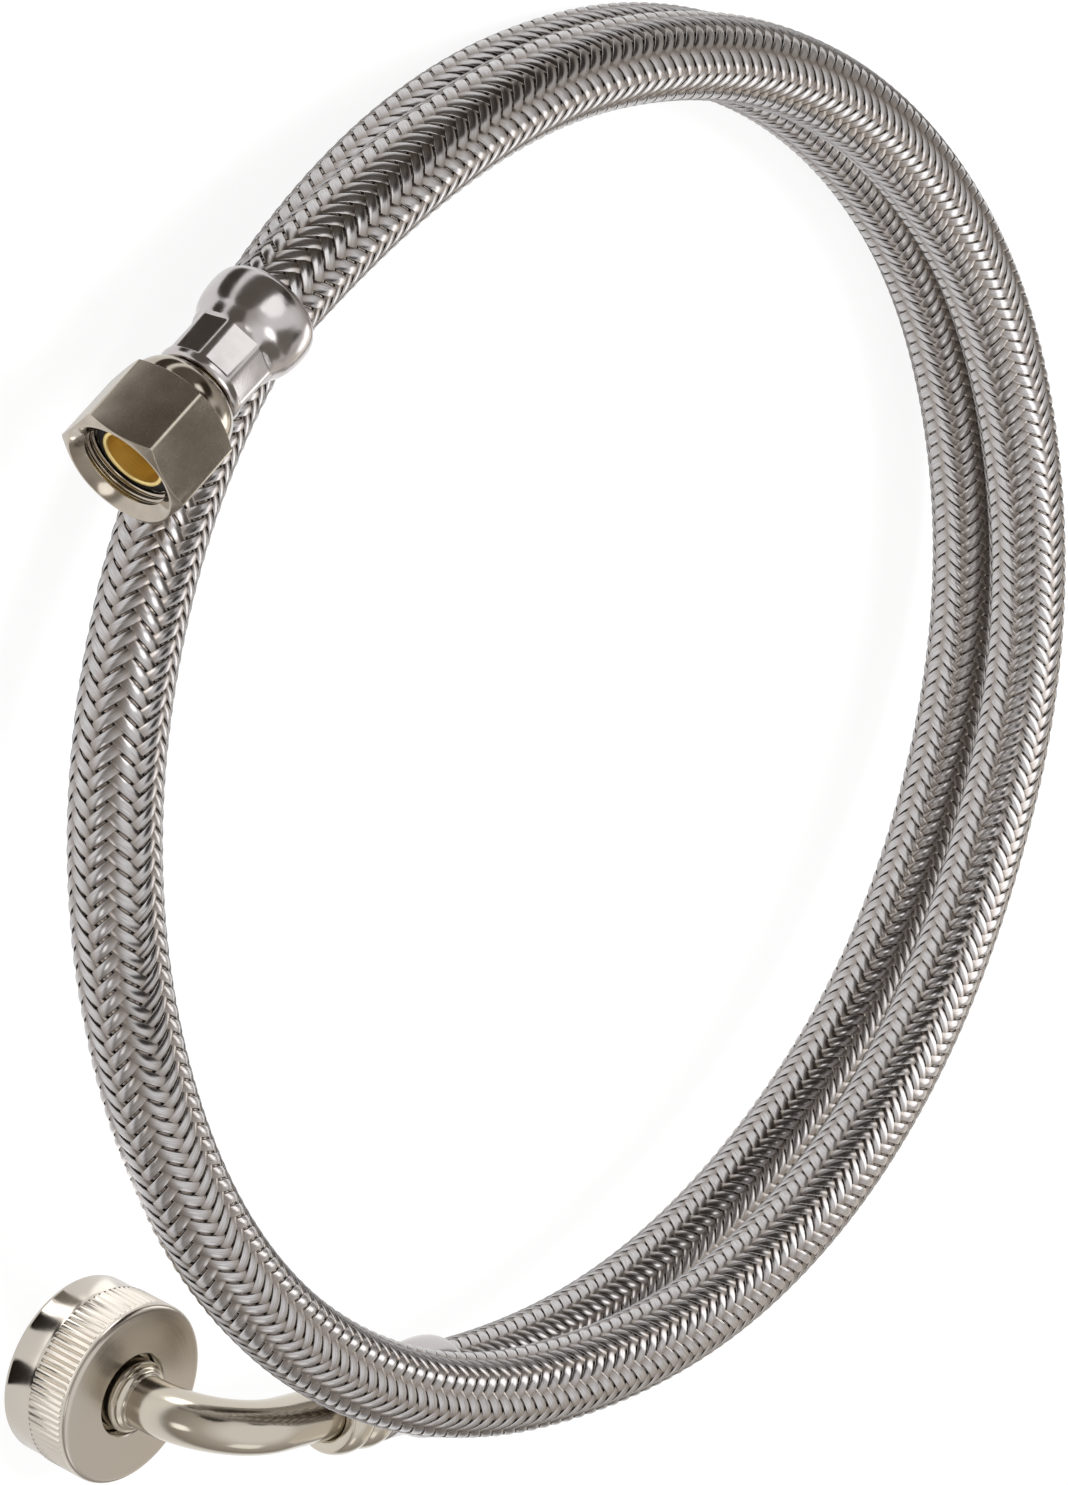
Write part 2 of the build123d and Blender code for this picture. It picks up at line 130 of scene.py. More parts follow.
def linear(hex_colour):
    """An sRGB hex colour as linear red, green, blue and alpha."""
    channels = [int(hex_colour[start:start + 2], 16) / 255 for start in (1, 3, 5)]
    return [c / 12.92 if c <= 0.04045 else ((c + 0.055) / 1.055) ** 2.4 for c in channels] + [1.0]


def add(tree, kind, inputs, **settings):
    """Adds a node, makes its settings, and gives each input a value or a link."""
    made = tree.nodes.new("ShaderNode" + kind)
    for name, value in settings.items():
        setattr(made, name, value)
    for name, value in inputs.items():
        if isinstance(value, bpy.types.NodeSocket):
            tree.links.new(value, made.inputs[name])
        else:
            made.inputs[name].default_value = value
    return made


def new_material(name):
    """An empty material, as its node tree and its main shader."""
    made = bpy.data.materials.new(name)
    made.use_nodes = True
    return made, made.node_tree, made.node_tree.nodes["Principled BSDF"]


# Extruded elastomer under drawing soap and dust: a matt brown grey with a slight waxy sheen.
ELASTOMER_GRAIN = 0.8
elastomer, tree, shader = new_material("extruded_elastomer")
shader.inputs["Base Color"].default_value = linear("#8a8078")
place = add(tree, "TexCoord", {})
grain = add(tree, "TexNoise", {"Vector": place.outputs["Object"], "Scale": 1 / (ELASTOMER_GRAIN * MM)})
rough = add(tree, "MapRange", {"Value": grain.outputs["Fac"], "To Min": 0.5, "To Max": 0.7})
tree.links.new(rough.outputs["Result"], shader.inputs["Roughness"])
liner_curve.materials.append(elastomer)
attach(liner, "hose")
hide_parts("inner_tube")

# ---- braid ----
# The hose's outside: 12 ribbons of fine stainless wire each way, woven two over and two under, so that
# the floats stand in columns of chevrons along the hose. A machine braids it on, and it stays bare. Its
# vertices come from the liner's line, as a rope's strands do.
RIBBONS = 12  # each way
LEAD = 30.6  # length along the hose of one turn of a ribbon
RIBBON_WIDTH = 1.78
WIRES = 6  # side by side in one ribbon
WIRE_BULGE = 0.06
PILLOW = 0.2  # how far a float's middle stands above its edges
CREST_R = 6.53  # radius of a ribbon's flat underside where it goes over
SUNK_R = 6.18  # and where it goes under
FLATTEN = 1.02  # over 1, a float's top lies flat for a way along it
STEPS_PER_CROSSING = 2
RIBBONS_PER_PIECE = 3
BRAID_ROLL = radians(24)  # turns the columns of chevrons about the hose
TUCKED_IN = 5.0  # how far the ribbons run into each ferrule
RIBBON_SHIFT = 7  # sets each ribbon's streaks apart from the next one's


def line_frames(places):
    """Points of the hose's line at the places, and two directions square to it that never twist."""
    tangent_at = np.gradient(line, line_at, axis=0)
    tangent_at /= np.linalg.norm(tangent_at, axis=1)[:, None]
    side = np.cross(tangent_at[0], (0, 0, 1))
    sides = []
    for tangent in tangent_at:
        side = side - tangent * side.dot(tangent)
        side /= np.linalg.norm(side)
        sides.append(side)
    inside = np.clip(places, 0, hose_length)
    points, tangents, across = [
        np.stack([np.interp(inside, line_at, values[:, axis]) for axis in range(3)], axis=1)
        for values in (line, tangent_at, np.array(sides))
    ]
    tangents /= np.linalg.norm(tangents, axis=1)[:, None]
    points += tangents * (places - inside)[:, None]
    across -= tangents * np.sum(across * tangents, axis=1)[:, None]
    across /= np.linalg.norm(across, axis=1)[:, None]
    return points, across, np.cross(tangents, across)


crossing = LEAD / (2 * RIBBONS) * MM
first = int(-TUCKED_IN * MM / crossing * STEPS_PER_CROSSING)
last = int((hose_length + TUCKED_IN * MM) / crossing * STEPS_PER_CROSSING)
crossings = np.arange(first, last + 1) / STEPS_PER_CROSSING
places = crossings * crossing
points, across, upward = line_frames(places)
section = np.linspace(-1, 1, 2 * WIRES + 1)
section_height = PILLOW * (1 - section**2) + WIRE_BULGE * (np.arange(2 * WIRES + 1) % 2)


def ribbon(number, way):
    """One ribbon's vertices, and its length so far and its lift at each step; way is 1 or -1."""
    angle = BRAID_ROLL + way * 2 * pi * places / (LEAD * MM) + 2 * pi * number / RIBBONS
    phase = 2 * number + crossings - 0.5 if way > 0 else 2 * number - crossings + 1.5
    lift = np.clip(FLATTEN * np.cos(pi / 2 * phase), -1, 1)
    radius = ((CREST_R + SUNK_R) / 2 + (CREST_R - SUNK_R) / 2 * lift) * MM
    out = np.cos(angle)[:, None] * across + np.sin(angle)[:, None] * upward
    middle = points + out * radius[:, None]
    heading = np.gradient(middle, axis=0)
    heading /= np.linalg.norm(heading, axis=1)[:, None]
    width = np.cross(heading, out)
    width /= np.linalg.norm(width, axis=1)[:, None]
    normal = np.cross(width, heading)
    vertices = (
        middle[:, None, :]
        + width[:, None, :] * (section * RIBBON_WIDTH / 2 * MM)[None, :, None]
        + normal[:, None, :] * (section_height * MM)[None, :, None]
    )
    run = np.concatenate([[0], np.cumsum(np.linalg.norm(np.diff(middle, axis=0), axis=1))]) / MM
    return vertices, run, lift


# Drawn stainless wire: bright grey with a soft shine, each wire a fine streak along its ribbon. Painted
# shade darkens a ribbon where it dips under the next, and a painted brown shade, less metallic, darkens
# it wherever other strands stand close.
STREAKS_ACROSS = 2.0 * WIRES  # in half a ribbon's width, so four to each wire
STREAKS_PER_MM = 0.35  # along a ribbon, as each is some 3 mm long
CRANNY = 14  # a strand's width: nothing that stands further off adds to the painted shade
braid_wire, tree, shader = new_material("braided_stainless_wire")
map_at = add(tree, "UVMap", {}, uv_map="ribbon")
stretched = add(tree, "Mapping", {"Vector": map_at.outputs["UV"],
                                  "Scale": (STREAKS_ACROSS, STREAKS_PER_MM, 1)})
streaks = add(tree, "TexNoise", {"Vector": stretched.outputs["Vector"], "Scale": 1.0, "Detail": 2.0})
colours = add(tree, "ValToRGB", {"Fac": streaks.outputs["Fac"]})
colours.color_ramp.elements[0].position = 0.3
colours.color_ramp.elements[0].color = linear("#a4a09f")
colours.color_ramp.elements[1].position = 0.7
colours.color_ramp.elements[1].color = linear("#d4d2d3")
# Painted shade: a darker grey where the ribbon's lift falls, as it dips under the next ribbon.
lift_at = add(tree, "Attribute", {}, attribute_name="lift")
out_of_dip = add(tree, "MapRange", {"Value": lift_at.outputs["Fac"], "From Min": -0.2, "From Max": 0.95})
dip_shaded = add(tree, "Mix", {"Factor": out_of_dip.outputs["Result"], "A": linear("#8f857d"),
                           "B": colours.outputs["Color"]}, data_type="RGBA")
# Painted shade: ambient occlusion within CRANNY turns the wire a less metallic brown grey where strands
# stand close together.
occlusion = add(tree, "AmbientOcclusion", {"Distance": CRANNY * MM})
unoccluded = add(tree, "MapRange", {"Value": occlusion.outputs["AO"], "From Min": 0.15, "From Max": 0.6})
crevice_shaded = add(tree, "Mix", {"Factor": unoccluded.outputs["Result"], "A": linear("#857a70"),
                          "B": dip_shaded.outputs["Result"]}, data_type="RGBA")
tree.links.new(crevice_shaded.outputs["Result"], shader.inputs["Base Color"])
tree.links.new(unoccluded.outputs["Result"], shader.inputs["Metallic"])
rough = add(tree, "MapRange", {"Value": streaks.outputs["Fac"], "To Min": 0.15, "To Max": 0.26})
tree.links.new(rough.outputs["Result"], shader.inputs["Roughness"])

count, wide = len(places), len(section)
row, column = np.meshgrid(np.arange(count - 1), np.arange(wide), indexing="ij")
beside = (column + 1) % wide
quads = np.stack([row * wide + column, row * wide + beside, (row + 1) * wide + beside,
                  (row + 1) * wide + column], axis=-1).reshape(-1, 4)
for way, way_name in ((1, "right"), (-1, "left")):
    for group in range(RIBBONS // RIBBONS_PER_PIECE):
        vertices, faces, across_map, along_map, lifts = [], [], [], [], []
        for number in range(group * RIBBONS_PER_PIECE, (group + 1) * RIBBONS_PER_PIECE):
            base = len(vertices) * count * wide
            made, run, lift = ribbon(number, way)
            vertices.append(made.reshape(-1, 3))
            ends = [list(range(base + wide - 1, base - 1, -1)),
                    list(range(base + (count - 1) * wide, base + count * wide))]
            faces += (quads + base).tolist() + ends
            across_map.append(np.tile(section, count) + RIBBON_SHIFT * number)
            along_map.append(np.repeat(run, wide))
            lifts.append(np.repeat(lift, wide))
        mesh = bpy.data.meshes.new(f"braid_{way_name}_{group + 1}")
        mesh.from_pydata(np.concatenate(vertices).tolist(), [], faces)
        mesh.polygons.foreach_set("use_smooth", [True] * len(mesh.polygons))
        corner_vertex = np.zeros(len(mesh.loops), int)
        mesh.loops.foreach_get("vertex_index", corner_vertex)
        ribbon_map = np.stack([np.concatenate(across_map), np.concatenate(along_map)], axis=1)
        mesh.uv_layers.new(name="ribbon").data.foreach_set("uv", ribbon_map[corner_vertex].ravel())
        mesh.attributes.new("lift", "FLOAT", "POINT").data.foreach_set("value", np.concatenate(lifts))
        mesh.materials.append(braid_wire)
        piece = bpy.data.objects.new(mesh.name, mesh)
        bpy.context.scene.collection.objects.link(piece)
        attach(piece, "hose")
        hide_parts("braid_sleeve")

# ---- ferrules ----
# A stainless ferrule at each end of the hose, pressed from sheet: a rolled mouth and a bulged collar
# over the braid, and a waist that eight jaws crimp into flats. It is tumbled bright.
FERRULE_LENGTH = 17.6
CRIMP_FLATS = 8
CRIMP_DEPTH = 0.4  # the most that a flat cuts below the round waist
CRIMP_START, CRIMP_END = 9.0, 16.2
WAIST_R = 6.62
SIDES = 96
DOUBLED = 0.002  # points nearer than this are one


def bowed(start, towards, end, steps=6):
    """Points of a curve from start to end that leaves start towards a third point."""
    shares = [step / steps for step in range(steps + 1)]
    return [
        tuple((1 - t) ** 2 * a + 2 * t * (1 - t) * b + t**2 * c for a, b, c in zip(start, towards, end))
        for t in shares
    ]


def turned(name, outline, sides=SIDES):
    """A piece turned about Z: a ring of edges is drawn on from each (radius, height) to the next."""
    bpy.ops.object.select_all(action="DESELECT")
    (radius, height), *others = outline
    bpy.ops.mesh.primitive_circle_add(vertices=sides, radius=radius * MM)
    made = bpy.context.object
    made.name = made.data.name = name
    bpy.ops.object.mode_set(mode="EDIT")
    bpy.ops.mesh.select_all(action="SELECT")
    bpy.ops.transform.translate(value=(0, 0, height * MM))
    for next_radius, next_height in [*others, outline[0]]:
        rise = (0, 0, (next_height - height) * MM)
        bpy.ops.mesh.extrude_region_move(TRANSFORM_OT_translate={"value": rise})
        widen = next_radius / radius
        bpy.ops.transform.resize(value=(widen, widen, 1), center_override=(0, 0, 0))
        radius, height = next_radius, next_height
    bpy.ops.mesh.select_all(action="SELECT")
    bpy.ops.mesh.remove_doubles(threshold=DOUBLED * MM)
    bpy.ops.mesh.normals_make_consistent(inside=False)
    bpy.ops.object.mode_set(mode="OBJECT")
    return made


def select_vertices(made, wanted):
    """Leaves only the vertices selected for which wanted says yes, and goes into edit mode."""
    bpy.context.view_layer.objects.active = made
    bpy.ops.object.mode_set(mode="EDIT")
    bpy.ops.mesh.select_mode(type="VERT")
    bpy.ops.mesh.select_all(action="DESELECT")
    shape = bmesh.from_edit_mesh(made.data)
    for vertex in shape.verts:
        vertex.select = wanted(vertex.co / MM)
    shape.select_flush_mode()
    bmesh.update_edit_mesh(made.data)


def finish(made, place, edge, angle=35, segments=3):
    """Breaks a piece's sharp edges by edge mm, shades it and lays it in its place."""
    bpy.ops.object.select_all(action="DESELECT")
    made.select_set(True)
    bpy.context.view_layer.objects.active = made
    broken = made.modifiers.new("broken_edges", "BEVEL")
    broken.width, broken.segments, broken.limit_method = edge * MM, segments, "ANGLE"
    broken.angle_limit = radians(angle)
    bpy.ops.object.modifier_apply(modifier=broken.name)
    bpy.ops.object.shade_smooth_by_angle(angle=radians(30))
    made.matrix_world = place
    bpy.ops.object.transform_apply()


def laid(x_axis, z_axis, origin):
    """The place of a piece whose Z lies along z_axis and whose X leans to x_axis."""
    z_axis = z_axis.normalized()
    x_axis = (x_axis - z_axis * x_axis.dot(z_axis)).normalized()
    turn = Matrix((x_axis, z_axis.cross(x_axis), z_axis)).transposed().to_4x4()
    return Matrix.Translation(origin) @ turn


WORLD_UP = Vector((0, 0, 1))
AWAY_B = Vector((-1, 0, 0))  # the way the elbow's ferrule points away from the hose
end_a = laid(WORLD_UP, out_a, coil + MOUTH_A * MM)
end_b = laid(WORLD_UP, AWAY_B, coil + MOUTH_B * MM)


def ferrule(name):
    """The ferrule, upright: rolled mouth, bulged collar, waist, end, and back up inside."""
    outline = [
        (6.87, 0.12), (6.97, 0), (7.2, 0), (7.34, 0.12),
        *bowed((7.4, 0.35), (8.2, 0.7), (8.2, 2.9)),
        *bowed((8.2, 3.2), (8.15, 5.6), (7.5, 6.9), 5),
        *bowed((7.3, 7.2), (6.72, 8.3), (WAIST_R, 9.3), 5),
        (WAIST_R, 9.6), (WAIST_R, 16.0), (WAIST_R, 16.3),
        *bowed((6.6, 16.5), (6.6, 17.5), (5.9, FERRULE_LENGTH), 5),
        (5.05, FERRULE_LENGTH), (5.05, 16.4), (5.7, 16.3), (5.7, 8.8), (6.9, 7.0), (7.5, 6.0),
        (7.6, 2.9), (6.87, 0.8),
    ]
    made = turned(name, outline)

    def in_flat(at):
        return CRIMP_START < at.z < CRIMP_END and at.x > WAIST_R - CRIMP_DEPTH

    for flat in range(CRIMP_FLATS):
        select_vertices(made, in_flat)
        bpy.ops.transform.resize(value=(0, 1, 1), center_override=((WAIST_R - CRIMP_DEPTH) * MM, 0, 0))
        bpy.ops.mesh.select_all(action="SELECT")
        bpy.ops.transform.rotate(value=2 * pi / CRIMP_FLATS, orient_axis="Z", center_override=(0, 0, 0))
        bpy.ops.object.mode_set(mode="OBJECT")
    return made


# Tumbled stainless sheet: near mirror, with cloudy scuffs and a fine unevenness left by the tumbling
# stones, drawn somewhat coarser than it is so that it shows.
SCUFF, DIMPLE = 1.5, 0.35
bright_steel, tree, shader = new_material("pressed_stainless_steel")
shader.inputs["Metallic"].default_value = 1.0
shader.inputs["Base Color"].default_value = linear("#bfbab9")
place = add(tree, "TexCoord", {})
scuffs = add(tree, "TexNoise", {"Vector": place.outputs["Object"], "Scale": 1 / (SCUFF * MM),
                                "Detail": 4.0})
rough = add(tree, "MapRange", {"Value": scuffs.outputs["Fac"], "To Min": 0.1, "To Max": 0.26})
tree.links.new(rough.outputs["Result"], shader.inputs["Roughness"])
dimples = add(tree, "TexNoise", {"Vector": place.outputs["Object"], "Scale": 1 / (DIMPLE * MM),
                                 "Detail": 3.0})
bump = add(tree, "Bump", {"Height": dimples.outputs["Fac"], "Strength": 0.06, "Distance": 0.1 * MM})
tree.links.new(bump.outputs["Normal"], shader.inputs["Normal"])

for end_name, end in (("ferrule_a", end_a), ("ferrule_b", end_b)):
    piece = ferrule("pressed_" + end_name)
    finish(piece, end, 0.08)
    piece.data.materials.append(bright_steel)
    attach(piece, "hose")
    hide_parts(end_name)

# ---- hex compression nut ----
# Turned and milled from brass bar and nickel plated: a domed shoulder, six flats and a countersunk
# mouth with a 9/16 in thread of 24 turns to the inch. It spins freely on the stem.
HEX_AF = 17.5  # across its flats
HEX_ROLL = radians(39.0)  # from straight up to the first corner
NUT_A_START, HEX_START, HEX_END, NUT_A_END = 17.9, 21.9, 34.0, 34.8
THREAD_A_R, THREAD_A_ROOT, THREAD_A_TOP = 6.65, 7.1, 33.5  # crest, root and end at the mouth
INCH = 25.4
THREAD_A_PITCH = INCH / 24
THREAD_A_TURNS = 3  # those next to the mouth, as no more show
DOME_R = 8.3
BLANK_OVER = 0.3  # the turned blank stands this far outside the corners, and the flats cut it back
HEX_EDGE = 0.8  # the corner that the tumbling wears round
SLACK = 0.02  # for rounding, where the corners are picked out


def thread(crest, root, top, pitch, count):
    """The outline of count turns of an inside thread, from the top down."""
    outline = []
    for groove in range(count):
        start = top - groove * pitch
        outline += [(crest, start), (crest, start - 0.2 * pitch), (root, start - 0.45 * pitch),
                    (root, start - 0.7 * pitch), (crest, start - 0.95 * pitch)]
    return outline


corner_r = HEX_AF / 2 / cos(pi / 6)
hex_nut = turned("plated_hex_nut", [
    (5.1, NUT_A_START), (6.1, NUT_A_START),
    *bowed((6.3, NUT_A_START + 0.1), (7.9, NUT_A_START + 0.9), (8.25, HEX_START - 0.5), 8),
    (DOME_R, HEX_START),
    (corner_r + BLANK_OVER, HEX_START + (corner_r + BLANK_OVER - DOME_R) * tan(radians(30))),
    (corner_r + BLANK_OVER, HEX_END - 0.15), (8.55, NUT_A_END), (8.3, NUT_A_END),
    (THREAD_A_R, THREAD_A_TOP),
    *thread(THREAD_A_R, THREAD_A_ROOT, THREAD_A_TOP - 0.05, THREAD_A_PITCH, THREAD_A_TURNS),
    (7.2, 29.9), (7.2, 22.9), (5.1, 22.9),
])
for flat in range(6):
    angle = HEX_ROLL + pi / 6 + flat * pi / 3
    square_to = Vector((cos(angle), sin(angle), 0))
    select_vertices(hex_nut, lambda at: True)
    bpy.ops.mesh.bisect(plane_co=square_to * HEX_AF / 2 * MM, plane_no=square_to, use_fill=True,
                        clear_outer=True)
    bpy.ops.object.mode_set(mode="OBJECT")
select_vertices(hex_nut, lambda at: at.xy.length > corner_r - SLACK)
bpy.ops.mesh.bevel(offset=HEX_EDGE * MM, segments=4)
bpy.ops.object.mode_set(mode="OBJECT")
finish(hex_nut, end_a, 0.12, angle=20)

# Nickel over brass, barrel plated: a warm grey. The milled flats are satin with darker clouds, and what
# was turned, which lies nearer the axis than they do, shines more.
CLOUD, SATIN_GRIT = 5, 0.5
satin_nickel, tree, shader = new_material("barrel_plated_nickel")
shader.inputs["Metallic"].default_value = 1.0
place = add(tree, "TexCoord", {})
clouds = add(tree, "TexNoise", {"Vector": place.outputs["Object"], "Scale": 1 / (CLOUD * MM),
                                "Detail": 5.0})
colours = add(tree, "ValToRGB", {"Fac": clouds.outputs["Fac"]})
colours.color_ramp.elements[0].position = 0.3
colours.color_ramp.elements[0].color = linear("#a79d90")
colours.color_ramp.elements[1].position = 0.7
colours.color_ramp.elements[1].color = linear("#c2b9ac")
tree.links.new(colours.outputs["Color"], shader.inputs["Base Color"])
grit = add(tree, "TexNoise", {"Vector": place.outputs["Object"], "Scale": 1 / (SATIN_GRIT * MM),
                              "Detail": 2.0})
rough = add(tree, "MapRange", {"Value": grit.outputs["Fac"], "To Min": 0.22, "To Max": 0.3})
about_a = add(tree, "Mapping", {"Vector": place.outputs["Object"], "Location": end_a.translation,
                                "Rotation": end_a.to_euler()}, vector_type="TEXTURE")
apart = add(tree, "SeparateXYZ", {"Vector": about_a.outputs["Vector"]})
flat_at = add(tree, "CombineXYZ", {"X": apart.outputs["X"], "Y": apart.outputs["Y"]})
reach = add(tree, "VectorMath", {0: flat_at.outputs["Vector"]}, operation="LENGTH")
smoother = add(tree, "MapRange", {"Value": reach.outputs["Value"], "From Min": (HEX_AF / 2 - 0.2) * MM,
                                  "From Max": HEX_AF / 2 * MM, "To Min": 0.11,
                                  "To Max": rough.outputs["Result"]})
tree.links.new(smoother.outputs["Result"], shader.inputs["Roughness"])
hex_nut.data.materials.append(satin_nickel)
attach(hex_nut, "compression_nut")
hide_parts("hex_nut")

# ---- stem and gasket in the hex nut ----
# The stem is turned from yellow brass and left bare: barbs inside the hose, a flange that the nut
# bears on, and a nose that stands through a black rubber ring.
STEM_BORE_R, STEM_NECK_R, NOSE_TIP = 3.2, 5.0, 31.8
BARB_TIP, HOSE_LAP, STEM_STOP_END = 2.4, 15.6, 16.3
BARBS, BARB_PITCH, BARB_R, BARB_ROOT, BARB_LAND = 4, 2.9, 4.35, 3.95, 0.6
barbs = [(BARB_ROOT, BARB_TIP)]
for barb in range(BARBS):
    land = BARB_TIP + BARB_PITCH * (barb + 1)
    barbs += [(BARB_R, land - BARB_LAND), (BARB_R, land), (BARB_ROOT, land)]
stop = [(5.6, HOSE_LAP), (5.6, STEM_STOP_END), (STEM_NECK_R, STEM_STOP_END)]
neck = [*barbs, (BARB_ROOT, HOSE_LAP), *stop]
stem_a = turned("brass_stem", [
    (STEM_BORE_R, BARB_TIP), *neck,
    (STEM_NECK_R, 26.8), (6.4, 26.8), (6.4, 28.4), (STEM_NECK_R, 28.4),
    (STEM_NECK_R, NOSE_TIP - 0.2), (4.85, NOSE_TIP), (4.4, NOSE_TIP), (4.25, NOSE_TIP - 0.2),
    (4.25, 27.2), (STEM_BORE_R, 26.9),
])
finish(stem_a, end_a, 0.06)

# Turned yellow brass: golden, with the fine rings of the cutting tool.
TOOL_RING = 0.3
brass, tree, shader = new_material("turned_brass")
shader.inputs["Metallic"].default_value = 1.0
shader.inputs["Base Color"].default_value = linear("#f4dc98")
shader.inputs["Roughness"].default_value = 0.4
place = add(tree, "TexCoord", {})
about_a = add(tree, "Mapping", {"Vector": place.outputs["Object"], "Location": end_a.translation,
                                "Rotation": end_a.to_euler()}, vector_type="TEXTURE")
rings = add(tree, "TexWave", {"Vector": about_a.outputs["Vector"],
                              "Scale": 1 / (TOOL_RING * MM) / (2 * pi),
                              "Distortion": 0.5}, bands_direction="Z")
bump = add(tree, "Bump", {"Height": rings.outputs["Fac"], "Strength": 0.15, "Distance": 0.05 * MM})
tree.links.new(bump.outputs["Normal"], shader.inputs["Normal"])
stem_a.data.materials.append(brass)
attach(stem_a, "hose")
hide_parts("stem_a")

gasket = turned("rubber_gasket", [
    (5.0, 28.5), (6.3, 28.45), (6.45, 28.6), (6.45, 31.0), (6.2, 31.25), (5.2, 31.25), (5.0, 31.1),
])
finish(gasket, end_a, 0.05)

# Moulded nitrile rubber: black and matt, with a bloom of grey.
BLOOM = 0.9
rubber, tree, shader = new_material("moulded_rubber")
place = add(tree, "TexCoord", {})
bloom = add(tree, "TexNoise", {"Vector": place.outputs["Object"], "Scale": 1 / (BLOOM * MM),
                               "Detail": 4.0})
colours = add(tree, "ValToRGB", {"Fac": bloom.outputs["Fac"]})
colours.color_ramp.elements[0].color = linear("#0e0d0d")
colours.color_ramp.elements[1].color = linear("#26221f")
tree.links.new(colours.outputs["Color"], shader.inputs["Base Color"])
shader.inputs["Roughness"].default_value = 0.6
gasket.data.materials.append(rubber)
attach(gasket, "hose")
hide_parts("gasket_a")

# ---- stem at the elbow ----
# The same barbs on a plated stem, whose outside is rolled into two rounded beads. The elbow's tube is
# brazed into its socket.
BEADS_START, BEAD_LENGTH, BEAD_R, GROOVE_R = 17.85, 5.4, 7.05, 6.3
BEADS, BEAD_STEPS = 2, 10
beads = []
for bead in range(BEADS):
    start = BEADS_START + bead * BEAD_LENGTH
    for step in range(BEAD_STEPS):
        swell = sin(pi * step / BEAD_STEPS) ** 0.7
        along = BEAD_LENGTH * step / BEAD_STEPS
        beads.append((GROOVE_R + (BEAD_R - GROOVE_R) * swell, start + along))
beads_end = BEADS_START + BEADS * BEAD_LENGTH
stem_b = turned("plated_stem", [
    (STEM_BORE_R, BARB_TIP), *neck, (STEM_NECK_R, BEADS_START), *beads,
    (GROOVE_R, beads_end - 0.1), (6.1, beads_end), (4.6, beads_end), (4.3, beads_end - 0.3),
    (4.3, 20.65), (STEM_BORE_R, 20.65),
])
finish(stem_b, end_b, 0.06)

# ---- elbow ----
# A seamless brass tube, bent a quarter turn on a mandrel, polished and nickel plated. It stands in the
# tailpiece below and is brazed into the plated stem at its other end.
TUBE_R, TUBE_WALL, BEND_R = 4.25, 0.8, 14.1
TUBE_BOTTOM, NECK_TOP, LEG = 11.6, 17.1, 18.95
TUBE_SIDES, BEND_STEPS = 48, 40
bpy.ops.object.select_all(action="DESELECT")
bpy.ops.mesh.primitive_circle_add(vertices=TUBE_SIDES, radius=TUBE_R * MM)
elbow = bpy.context.object
elbow.name = elbow.data.name = "bent_tube"
bpy.ops.object.mode_set(mode="EDIT")
bpy.ops.mesh.select_all(action="SELECT")
bpy.ops.transform.translate(value=(0, 0, TUBE_BOTTOM * MM))
bpy.ops.mesh.extrude_region_move(TRANSFORM_OT_translate={"value": (0, 0, (NECK_TOP - TUBE_BOTTOM) * MM)})
bpy.ops.mesh.spin(steps=BEND_STEPS, angle=-pi / 2, center=(BEND_R * MM, 0, NECK_TOP * MM),
                  axis=(0, 1, 0))
bpy.ops.mesh.extrude_region_move(TRANSFORM_OT_translate={"value": (LEG * MM, 0, 0)})
bpy.ops.mesh.select_all(action="SELECT")
bpy.ops.mesh.remove_doubles(threshold=DOUBLED * MM)
bpy.ops.mesh.normals_make_consistent(inside=False)
bpy.ops.object.mode_set(mode="OBJECT")
wall = elbow.modifiers.new("wall", "SOLIDIFY")
wall.thickness, wall.offset = TUBE_WALL * MM, -1
bpy.ops.object.modifier_apply(modifier=wall.name)
finish(elbow, Matrix.Translation(hose_nut_axis), 0.1)

# Polished nickel on brass: a warm mirror with the faintest orange peel from the bend.
ORANGE_PEEL = 1.2
bright_nickel, tree, shader = new_material("polished_nickel")
shader.inputs["Metallic"].default_value = 1.0
shader.inputs["Base Color"].default_value = linear("#c4bcae")
place = add(tree, "TexCoord", {})
peel = add(tree, "TexNoise", {"Vector": place.outputs["Object"], "Scale": 1 / (ORANGE_PEEL * MM),
                              "Detail": 3.0})
rough = add(tree, "MapRange", {"Value": peel.outputs["Fac"], "To Min": 0.1, "To Max": 0.2})
tree.links.new(rough.outputs["Result"], shader.inputs["Roughness"])
bump = add(tree, "Bump", {"Height": peel.outputs["Fac"], "Strength": 0.03, "Distance": 0.2 * MM})
tree.links.new(bump.outputs["Normal"], shader.inputs["Normal"])
for piece, node, finish_slot in ((elbow, "elbow_tube", "elbow"), (stem_b, "stem_b", "plated_stem")):
    piece.data.materials.append(bright_nickel)
    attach(piece, "hose")
    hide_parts(node)

# ---- tailpiece ----
# Turned brass, plated with the elbow it is brazed to. Its flange keeps the hose nut on, and its neck
# steps down to the tube with a fillet of braze.
tailpiece = turned("tailpiece_neck", [
    (3.45, 9.9), (11.8, 9.9), (11.8, 11.3), (5.85, 11.3), (5.85, 14.2), (5.7, 14.4), (5.2, 14.45),
    (5.2, 14.9), *bowed((5.0, 15.05), (4.4, 15.1), (4.27, 15.9), 4), (4.2, 15.9), (4.2, 11.6),
    (3.45, 11.6),
])
finish(tailpiece, Matrix.Translation(hose_nut_axis), 0.08)
tailpiece.data.materials.append(bright_nickel)
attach(tailpiece, "hose")
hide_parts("tailpiece")

